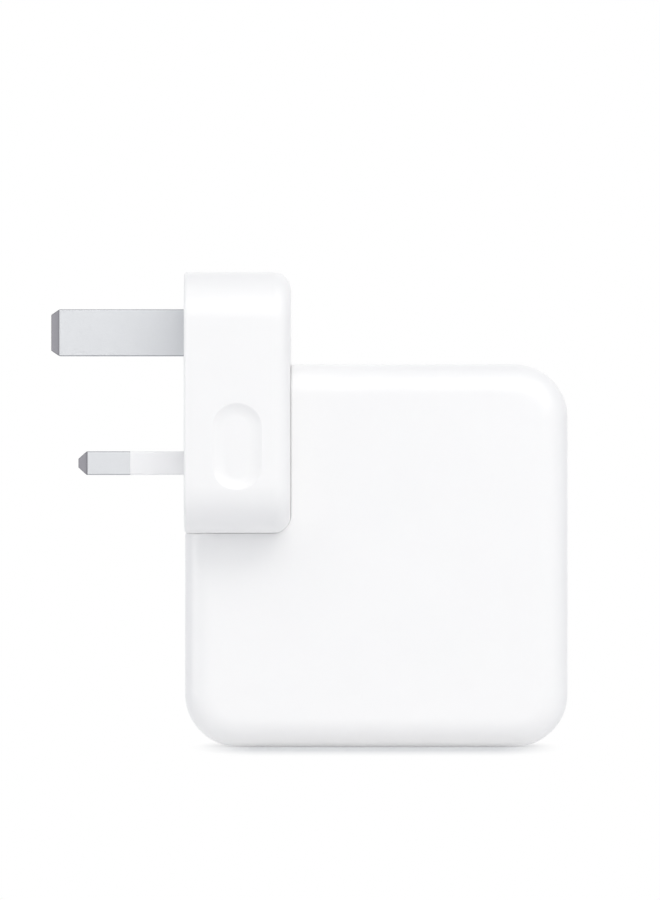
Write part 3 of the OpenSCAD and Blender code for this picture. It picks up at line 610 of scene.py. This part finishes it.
(_, _, block_foot), (_, _, block_top) = corners_of("ac_inlet")
shoulder_z = dock_z - wall - play
block_body = rounded(10.3, 20.9, 2)
block_rim = grown(rounded, 9.9, 18.9, 3)
block_levels = [(block_body, block_foot), (block_body, shoulder_z), (block_rim(0), shoulder_z)]
block_levels += [(block_rim(-inset), block_top - depth) for inset, depth in rolled(0.25, 4)]
inlet_block = loft("inlet_block", [ring(outline, "Z", z, (inlet_x, 0))
                                   for outline, z in block_levels])
well_foot = block_foot + 2.5
pin_radius, pin_bore = 1.18, 1.23
pin_sides = {"front": -inlet_pitch / 2, "rear": inlet_pitch / 2}
bore_levels = [(pin_bore, block_foot - 1), (pin_bore, well_foot + 1)]
combine(inlet_block, [
    opening(grown(figure_of_eight, *well), "Z", block_top, -1, block_top - well_foot, 0.4,
            (inlet_x, 0)),
    *(turned("cutter", bore_levels, "Z", (inlet_x, y)) for y in pin_sides.values()),
])
finish(inlet_block, "inner_plastic")
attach(inlet_block, "adapter")
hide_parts("ac_inlet")

# %% Inlet pins
(_, _, pin_foot), (_, _, pin_top) = corners_of("inlet_pins")
collar_radius, collar_foot = 1.88, pin_foot + 2
collar_top = collar_foot + 0.95
inlet_profile = [(0, pin_foot), (pin_radius - 0.15, pin_foot), (pin_radius, pin_foot + 0.15),
                 (pin_radius, collar_foot), (collar_radius, collar_foot),
                 (collar_radius, collar_top), (pin_radius, collar_top)]
inlet_profile += [(pin_radius - inset, pin_top - depth) for inset, depth in rolled(pin_radius, 8)]
for place, y in pin_sides.items():
    pin = turned("inlet_pin_" + place, inlet_profile, "Z", (inlet_x, y), 32)
    finish(pin, "contact_metal")
    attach(pin, "adapter")
    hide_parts("inlet_pins")

# %% [markdown]
# ## The locking stud
#
# A mushroom-headed stud stands out of the dock's wall, and the plug head slides down over it. It is
# turned from bar, so a profile about its axis makes it: an eased head, a neck, a flange inside
# the wall, and a thread for the nut.

# %% Turned stud
(stud_face, _, _), (stud_end, _, _) = corners_of("lock_stud")
stud_head, stud_neck = 4.8, 2.9
thread_crest, thread_root, thread_pitch, thread_turns = 2.0, 1.7, 0.4, 8
neck_start, neck_end = stud_face + 1.8, stud_face + 6.7
thread_start = neck_end + 1.2
stud_profile = [(0, stud_face), (3.9, stud_face)]
stud_profile += [(stud_head - inset, stud_face + depth) for inset, depth in rolled(0.5, 6)[::-1]]
stud_profile += [(stud_head, neck_start - 0.15), (stud_head - 0.15, neck_start),
                 (stud_neck + 0.25, neck_start), (stud_neck, neck_start + 0.25),
                 (stud_neck, neck_end), (stud_head, neck_end), (stud_head, thread_start)]
for turn in range(thread_turns):
    level = thread_start + turn * thread_pitch
    stud_profile += [(thread_root, level + 0.02), (thread_crest, level + thread_pitch / 2)]
stud_profile += [(thread_root, stud_end - 0.1), (1.5, stud_end), (0, stud_end)]
stud = turned("locking_stud", stud_profile, "X", (0, stud_z), 64)
finish(stud, "plated_steel")
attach(stud, "adapter")
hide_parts("lock_stud")

# %% [markdown]
# ## The charging port
#
# The port's shell is a drawn steel tube with a flattened round section, whose mouth is eased inside
# and out. The black tongue and its gilt contacts inside keep the shapes of the model, which are
# right as they are.

# %% Port shell
(port_back, _, _), (port_mouth, _, _) = corners_of("usb_c_shell")
sheet = 0.3
port_width, port_length = 3.16, 8.94
lip = [(0, 0.1), (0.03, 0.03), (0.1, 0)]
port_stations = [(0, port_back)] + [(inset, port_mouth - depth) for inset, depth in lip]
port_stations += [(sheet - inset, port_mouth - depth) for inset, depth in lip[::-1]]
port_stations.append((sheet, port_back))
port = loft("port_shell", [
    ring(rounded(port_width - 2 * inset, port_length - 2 * inset, port_width / 2 - inset, 12),
         "X", x, (0, port_z)) for inset, x in port_stations], "join")
finish(port, "plated_steel")
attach(port, "adapter")
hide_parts("usb_c_shell")

# %% [markdown]
# ## The plug head
#
# The plug head is a deep cup. Its flat face carries the wall pins and has a nearly crisp edge, its
# back edge is rolled on a 3 mm radius, and its corners, seen from the pins, are 8 mm. It is
# lofted along X: out from the face, along the sides, round the roll, into the seat for the cover
# and down the inside.

# %% Cup of the plug head
head_width = head_rear - head_front
head_height = head_top - head_foot
head_centre = (0, (head_top + head_foot) / 2)
head_corner = 8.0
pin_face_edge, head_roll = 0.5, 3.0
head_wall = 4.0
face_wall = 2.6
cover_inset, cover_thickness = 3.2, 2.0
cover_ease = 0.06
cover_seat = head_back - cover_thickness
cavity_x = face_x + face_wall


def head_outline(inset):
    """The plug head from the pins, drawn in by an inset."""
    return rounded(head_width - 2 * inset, head_height - 2 * inset, head_corner - inset, 26)


head_stations = [(inset, face_x + depth) for inset, depth in rolled(pin_face_edge, 6)[::-1]]
head_stations += [(inset, head_back - depth)
                  for inset, depth in rolled(head_roll, 16, roll_fullness)]
head_stations += [(cover_inset - cover_ease, head_back), (cover_inset, head_back - cover_ease),
                  (cover_inset, cover_seat), (head_wall, cover_seat), (head_wall, cavity_x)]
head = loft("head_cup", [ring(head_outline(inset), "X", x, head_centre)
                         for inset, x in head_stations])
print("head rings:", len(head_stations))

# %% [markdown]
# ## Finger dimples, slot and holes
#
# On each broad side a long dimple gives fingers a hold. Its floor is flat and its wall sweeps up to
# a definite rim, so the cutter is a shallow bowl with a stadium outline. A slot, open at the foot,
# lets the stud run up inside, a figure-of-eight hole seats the nose, and three rectangular holes
# take the pins.

# %% Finger dimple
dimple_width, dimple_height = 8.3, 14.7
dimple_deep, dimple_sweep = 0.65, 2.2
dimple_x = (face_x + head_back) / 2
dimple_z = head_foot + 14.6


def dimple(side):
    """Bowl that is sunk into the front (-1) or the rear (1) side of the plug head."""
    bow = (dimple_sweep ** 2 + dimple_deep ** 2) / (2 * dimple_deep)
    stations = [(0.9, -0.6), (0.12, -0.012), (0.05, 0.004)]
    for step in range(1, 13):
        inset = dimple_sweep * step / 12
        depth = math.sqrt(bow ** 2 - (dimple_sweep - inset) ** 2) - (bow - dimple_deep)
        stations.append((-inset, depth))
    return loft("cutter", [
        ring(rounded(dimple_width + 2 * grow, dimple_height + 2 * grow, dimple_width, 20),
             "Y", (head_rear - depth) * side, (dimple_x, dimple_z)) for grow, depth in stations])


print("dimple:", dimple_width, "by", dimple_height, "mm and", dimple_deep, "mm deep")

# %% Slot for the stud
neck_slot_width = 6.6
room_slot_width = 11.4
stud_room = 0.4
slot_back = stud_face - stud_room


def stud_slot(width, from_x, to_x, foot_z):
    """Slot that is open at its foot and round at its top, where the stud stops."""
    outline = [(-width / 2, foot_z), (width / 2, foot_z)] + arc((0, stud_z), width / 2, 0, 180, 24)
    return loft("cutter", [ring(outline, "X", x) for x in (from_x, to_x)])


def stud_slots():
    """Slot for the stud's neck at the back, and the wider room for its head in front of it."""
    return [stud_slot(neck_slot_width, cover_seat - 1, head_back + 1, head_foot - 1),
            stud_slot(room_slot_width, slot_back, cover_seat, head_foot - 1)]


print("slot widths:", neck_slot_width, room_slot_width)

# %% Holes for the nose and the pins, and the cut
nose_size = (7.2, 5.4)
live_size, earth_size = (6.35, 4.0), (4.0, 8.0)
live_y, live_z = 11.1, head_foot + 11.85
earth_z = live_z + 22.23


def larger(section, amount):
    """A (width, height) section with the same amount added to both."""
    return section[0] + amount, section[1] + amount


def pin_hole(size, y, z):
    """Rectangular hole for a wall pin, a little wider than the pin."""
    return opening(grown(rounded, *larger(size, play), 0.5), "X", face_x, 1, through, 0.12, (y, z))


combine(head, [
    dimple(-1),
    dimple(1),
    *stud_slots(),
    opening(grown(figure_of_eight, *larger(nose_size, play)), "Z", head_foot, 1, 5, 0.2,
            (inlet_x, 0)),
    pin_hole(live_size, -live_y, live_z),
    pin_hole(live_size, live_y, live_z),
    pin_hole(earth_size, 0, earth_z),
])
finish(head, "head_plastic")
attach(head, "plug_head")
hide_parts("head_shell")

# %% [markdown]
# ## The cover in the back of the plug head
#
# A plate closes the cup. It carries the pocket that the stud's head slides into, and its eased edge
# leaves a fine line round it. Plate and pocket are two lofts joined by a Boolean, and the slots
# are then cut through both.

# %% Cover
cover_gap, cover_edge = 0.05, 0.15
plate_inset = cover_inset + cover_gap
cover_stations = [(plate_inset, cover_seat + cover_gap), (plate_inset, head_back - cover_edge)]
cover_stations += [(plate_inset + inset, head_back - depth)
                   for inset, depth in rolled(cover_edge, 4)]
cover = loft("head_back_cover", [ring(head_outline(inset), "X", x, head_centre)
                                 for inset, x in cover_stations])
pocket_width = room_slot_width + 2
flange_z = head_foot + 4.1
pocket_outline = [(-pocket_width / 2, flange_z), (pocket_width / 2, flange_z)]
pocket_outline += arc((0, stud_z), pocket_width / 2, 0, 180, 32)
pocket_wall = 1.0
pocket = loft("pocket", [ring(pocket_outline, "X", x)
                         for x in (slot_back - pocket_wall, cover_seat + 0.55)])
combine(cover, [pocket], "UNION")
window = loft("cutter", [ring(rounded(3.4, 1.0, 0.05), "X", x, (0, stud_z + 0.4))
                         for x in (slot_back - 2 * pocket_wall, slot_back + pocket_wall)])
combine(cover, [*stud_slots(), window])
finish(cover, "head_plastic")
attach(cover, "plug_head")
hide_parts("head_cover")

# %% [markdown]
# ## The nose
#
# Under the plug head stands a figure-of-eight nose with two deep holes. It plugs into the inlet's
# well, so its end is well rounded to find the way in.

# %% Nose block
(_, _, nose_foot), (_, _, nose_top) = corners_of("nose_block")
nose_flange = 0.6
nose_stations = [(inset, nose_foot + depth) for inset, depth in rolled(0.7, 6)[::-1]]
nose_stations += [(0, flange_z), (-nose_flange, flange_z), (-nose_flange, nose_top)]
nose_outline = grown(figure_of_eight, *nose_size)
nose = loft("inlet_nose", [ring(nose_outline(-inset), "Z", z, (inlet_x, 0))
                           for inset, z in nose_stations])
entry, entry_lead, contact_room = 1.58, 0.3, 2.15
contact_z = nose_foot + 2
bore = [(0, nose_foot - 1), (entry + entry_lead, nose_foot - 1), (entry + entry_lead, nose_foot)]
bore += [(entry + inset, nose_foot + depth) for inset, depth in rolled(entry_lead, 4)[::-1]]
bore += [(entry, contact_z), (contact_room, contact_z), (contact_room, nose_top + 1),
         (0, nose_top + 1)]
combine(nose, [turned("cutter", bore, "Z", (inlet_x, y), 40) for y in pin_sides.values()])
finish(nose, "inner_plastic")
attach(nose, "plug_head")
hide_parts("nose_block")

# %% [markdown]
# ## The wall pins
#
# Three rectangular blades, the earth pin taller and longer than the other two. Each is drawn bar
# with softened edges, and its end is struck to a taper on all four sides. The two current pins
# step down to a slimmer core where a moulded sleeve insulates the half nearer the plug. An extra
# ring either side of each crease gives it a small radius that catches light. The struck facets
# get their painted shade, a darker metal, by the place of their faces, and the long corners get
# another painted shade by the direction that theirs look in.

# %% Blades
taper = 1.5
ease = 0.08
pin_edge, core_edge = 0.2, 0.3
flange_x = cavity_x + 2.5
flange_back = flange_x + 1.25
tail = (2.6, 2.6)
# How far a face must lean to take the painted shade of the long corners.
painted_edge_lean = 0.25


def blade(name, node, size, tip, y, z, core=None, core_from=None):
    """Wall pin along X from its tip to its tail; core is the slimmer section under a sleeve."""
    (tip_x, _, _), (tail_x, _, _) = corners_of(node)
    stations = [(larger(tip, -0.2), 0.12, tip_x), (tip, 0.15, tip_x + ease)]
    for share in (0.35, 0.7):
        mid = tuple(t + (s - t) * share for t, s in zip(tip, size))
        stations.append((mid, 0.16, tip_x + ease + (taper - 2 * ease) * share))
    stations += [(larger(size, -0.05), 0.17, tip_x + taper - ease),
                 (size, pin_edge, tip_x + taper + ease)]
    if core:
        stations += [(size, pin_edge, core_from), (core, core_edge, core_from),
                     (core, core_edge, flange_x)]
    else:
        stations.append((size, pin_edge, flange_x))
    flange = larger(core or size, 2)
    stations += [(flange, core_edge, flange_x + 0.05), (flange, core_edge, flange_back)]
    if core:
        stations += [(tail, tail[0] / 2, flange_back), (tail, tail[0] / 2, tail_x)]
    pin = loft(name, [ring(rounded(*section, radius, 6), "X", x, (y, z))
                      for section, radius, x in stations])
    finish(pin, "pin_metal")
    # Painted shade: the struck tips get the dark metal.
    pin.data.materials.append(finishes["tip_painted_shade"])
    # Painted shade: the long corners get the darker metal.
    pin.data.materials.append(finishes["edge_painted_shade"])
    for face in pin.data.polygons:
        # Painted shade on the struck tips, chosen by the place of their faces.
        if face.center.x < (tip_x + taper) * MM:
            face.material_index = 1
        # Painted shade on the long corners, chosen by the direction of their faces.
        elif min(abs(face.normal.y), abs(face.normal.z)) > painted_edge_lean:
            face.material_index = 2
    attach(pin, "plug_head")
    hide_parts(node)
    return pin


live_core = (5.05, 2.7)
bare_end = face_x - 9.2
blade("earth_blade", "earth_pin", earth_size, (2.1, 6.2), 0, earth_z)
blade("live_blade", "live_pin", live_size, (4.15, 1.6), live_y, live_z, live_core, bare_end)
blade("neutral_blade", "neutral_pin", live_size, (4.15, 1.6), -live_y, live_z, live_core, bare_end)

# %% [markdown]
# ## Insulating sleeves
#
# The sleeves are flush with the bare metal, so they are tubes of the blade's own outside section.
# A closed loft makes them: out along the outside, round the end, and back along the bore.

# %% Sleeves
def sleeve(name, node, y):
    """Tube round a current pin, from the end of its bare metal to inside the plug head's face."""
    _, (end, _, _) = corners_of(node)
    bore = larger(live_core, play)
    stations = [(bore, 0.35, end), (bore, 0.35, bare_end),
                (larger(live_size, -0.04), 0.28, bare_end),
                (live_size, core_edge, bare_end + 0.02), (live_size, core_edge, end)]
    tube = loft(name, [ring(rounded(*section, radius, 6), "X", x, (y, live_z))
                       for section, radius, x in stations], "join")
    finish(tube, "sleeve_plastic")
    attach(tube, "plug_head")
    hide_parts(node)


sleeve("live_pin_sleeve", "live_sleeve", live_y)
sleeve("neutral_pin_sleeve", "neutral_sleeve", -live_y)

# %% [markdown]
# ## Everything inside
#
# The parts that nothing replaces keep their shapes from the model, and only take the finish of
# their slot in the record.

# %% Finishes for the model's own parts
slot_of = {part["node"]: part["material_slot"] for part in frame["record"]["subparts"]}
kept = [name for name, node in nodes.items() if not node.hide_render]
for name in kept:
    nodes[name].data.materials.clear()
    nodes[name].data.materials.append(finishes[slot_of[name]])
print("kept from the model:", len(kept))

# %% [markdown]
# ## Floor and surroundings
#
# White on white is a matter of tones. The floor is a white sheet with a painted shadow near the
# housing, a darker colour that runs out smoothly into pure white, so there is no horizon. One
# mask carries the painted shadow forwards and sideways, and another ends it behind. Under the
# rolled foot a strip of the sheet glows faintly for bounced light only, painted bounce light as a
# lit sheet gives, so the contact isn't black. A curved backdrop could do the same, but it would
# need light of its own to come out white.

# %% Rays that show the surroundings
def seen_directly(graph):
    """1 for rays from the camera, and for those that a mirror or glass sends on."""
    camera_ray, glossy_ray, sent_ray = [graph.node("ShaderNodeLightPath", output=kind) for kind in (
        "Is Camera Ray", "Is Glossy Ray", "Is Transmission Ray")]
    total = camera_ray + glossy_ray + sent_ray
    return graph.node("ShaderNodeMath", {"operation": "MINIMUM"}, {0: total, 1: 1.0})


print("ray helper ready")

# %% Floor sheet
floor_radius = 0.5
floor_grid = bmesh.new()
bmesh.ops.create_circle(floor_grid, cap_ends=True, segments=96, radius=floor_radius)
floor_mesh = bpy.data.meshes.new("floor")
floor_grid.to_mesh(floor_mesh)
floor_grid.free()
floor = bpy.data.objects.new("floor", floor_mesh)
floor.location.z = -0.02 * MM
bpy.context.scene.collection.objects.link(floor)
print("floor radius:", floor_radius)

# %% Painted shadow on the floor
def outside(graph, middle, half, reach):
    """0 within a rectangle on the floor, going smoothly to 1 at a reach beyond it, in mm."""
    place = own_place(graph)
    for operation, vector in (("SUBTRACT", middle), ("ABSOLUTE", None), ("SUBTRACT", half),
                              ("MAXIMUM", (0, 0)), ("DIVIDE", reach)):
        sockets = {0: place}
        if vector:
            sockets[1] = (vector[0] * MM, vector[1] * MM, MM if operation == "DIVIDE" else 0)
        place = graph.node("ShaderNodeVectorMath", {"operation": operation}, sockets)
    distance = graph.node("ShaderNodeVectorMath", {"operation": "LENGTH"}, {0: place},
                          output="Value")
    return graph.node("ShaderNodeMapRange", {"interpolation_type": "SMOOTHSTEP"}, {0: distance})


floor_white = Graph(bpy.data.materials.new("floor_white"))
# These masks fade the painted shadow out: forwards and sideways, and behind.
front = outside(floor_white, (0, -12), (19, 0), (13, 62))
behind = outside(floor_white, (0, -60), (500, 66), (1, 32))
far = front.maths("MAXIMUM", front, behind)
beside = outside(floor_white, (0, 0), (24, 9), (8, 5))
paper = floor_white.node("ShaderNodeBsdfDiffuse", None, {"Color": (0.9, 0.9, 0.905, 1)})
# Painted shadow: a darker sheet near the housing, which the masks fade into pure white.
painted_shadow = floor_white.node("ShaderNodeBsdfDiffuse", None, {"Color": (0.675, 0.685, 0.7, 1)})
beyond = floor_white.node("ShaderNodeEmission", None, {"Color": (1, 1, 1, 1), "Strength": 1.0})
shown = floor_white.node("ShaderNodeMixShader", None, {0: far, 1: painted_shadow, 2: beyond})
# Painted bounce light: a faint glow beside the foot, seen by bounced rays only.
glow = floor_white.node("ShaderNodeEmission", None, {"Color": (1, 1, 1, 1), "Strength": 0.33})
glowing_paper = floor_white.node("ShaderNodeAddShader", None, {0: paper, 1: glow})
felt = floor_white.node("ShaderNodeMixShader", None, {0: beside, 1: glowing_paper, 2: paper})
direct = seen_directly(floor_white)
seen = floor_white.node("ShaderNodeMixShader", None, {0: direct, 1: felt, 2: shown})
floor_white.node("ShaderNodeOutputMaterial", None, {"Surface": seen})
floor_mesh.materials.append(floor_white.owner)
print("floor nodes:", len(floor_white.tree.nodes))

# %% [markdown]
# ## The white room
#
# The room could be a box of white card, but the world's colour is enough and adds no faces. What
# the camera and reflections see of it is pure white, like the far floor, while the light that it
# sends to the object is weaker and a little blue. The lamps are a little warm. Lit faces come out
# neutral and shaded edges cool, which is what makes white plastic read as white.

# %% World
bpy.context.scene.world = bpy.data.worlds.new("white_room")
room = Graph(bpy.context.scene.world)
ambient = room.node("ShaderNodeBackground", None, {"Color": (0.8, 0.865, 1, 1), "Strength": 0.375})
backdrop = room.node("ShaderNodeBackground", None, {"Color": (1, 1, 1, 1), "Strength": 1.0})
mixed = room.node("ShaderNodeMixShader", None, {0: seen_directly(room), 1: ambient, 2: backdrop})
room.node("ShaderNodeOutputWorld", None, {"Surface": mixed})
print("world ready")

# %% [markdown]
# ## Lamps
#
# A wide softbox above, in front and a little to the right is the main light. It makes the tops of
# the rolls the brightest places and lets the undersides fall off. The plug head stands 10 mm
# further forward than the housing, so light from its own side would leave a grey band beside it,
# and light from the other side doesn't. A second softbox, higher up, draws the soft shadow that
# the plug head throws on the housing below it. It is kept out of reflections, so there is only
# one highlight. A small lamp far to the left grazes the edges that face it, and one behind keeps
# the rear light.
#
# Light adds up, so each lamp can be rendered alone, and the levels are then chosen as shares of
# those pictures instead of by trial.

# %% Softboxes
lamp_white = (1, 0.97, 0.918)
centre = (0, 0, 40)


def softbox(name, place, size, watts, mirrored=True):
    """Rectangular lamp turned towards the object's centre; mirrored lamps show in gloss."""
    lamp = bpy.data.lights.new(name, "AREA")
    lamp.shape = "RECTANGLE"
    lamp.size, lamp.size_y = size[0] * MM, size[1] * MM
    lamp.energy = watts
    lamp.color = lamp_white
    holder = bpy.data.objects.new(name, lamp)
    holder.location = [c * MM for c in place]
    holder.rotation_euler = (Vector(centre) - Vector(place)).to_track_quat("-Z", "Y").to_euler()
    holder.visible_camera = False
    holder.visible_glossy = mirrored
    bpy.context.scene.collection.objects.link(holder)
    print(name, watts, "W")


softbox("key", (300, -670, 475), (1000, 700), 3.36)
softbox("high_key", (0, -450, 700), (1400, 400), 2.72, False)
softbox("left_side", (-700, -150, 40), (400, 400), 1.0)
softbox("rear_fill", (0, 680, 400), (1400, 500), 4.2, False)

# %% [markdown]
# ## Camera
#
# A long lens 2 m in front, level and square to the front face, at the middle of the whole
# object. The frame is upright, so the sensor's 36 mm are its height.

# %% Camera and colour
camera_place = (-7.87, -2000, 50.43)
focal_length, film = 468.5, 36
scene = bpy.context.scene
lens = bpy.data.cameras.new("camera")
lens.sensor_width = film
lens.lens = focal_length
lens.clip_start, lens.clip_end = 0.1, 20
camera = bpy.data.objects.new("camera", lens)
camera.location = [c * MM for c in camera_place]
camera.rotation_euler = (math.radians(90), 0, 0)
scene.collection.objects.link(camera)
scene.camera = camera
scene.view_settings.view_transform = "Standard"
print("camera at", [round(c, 4) for c in camera.location])
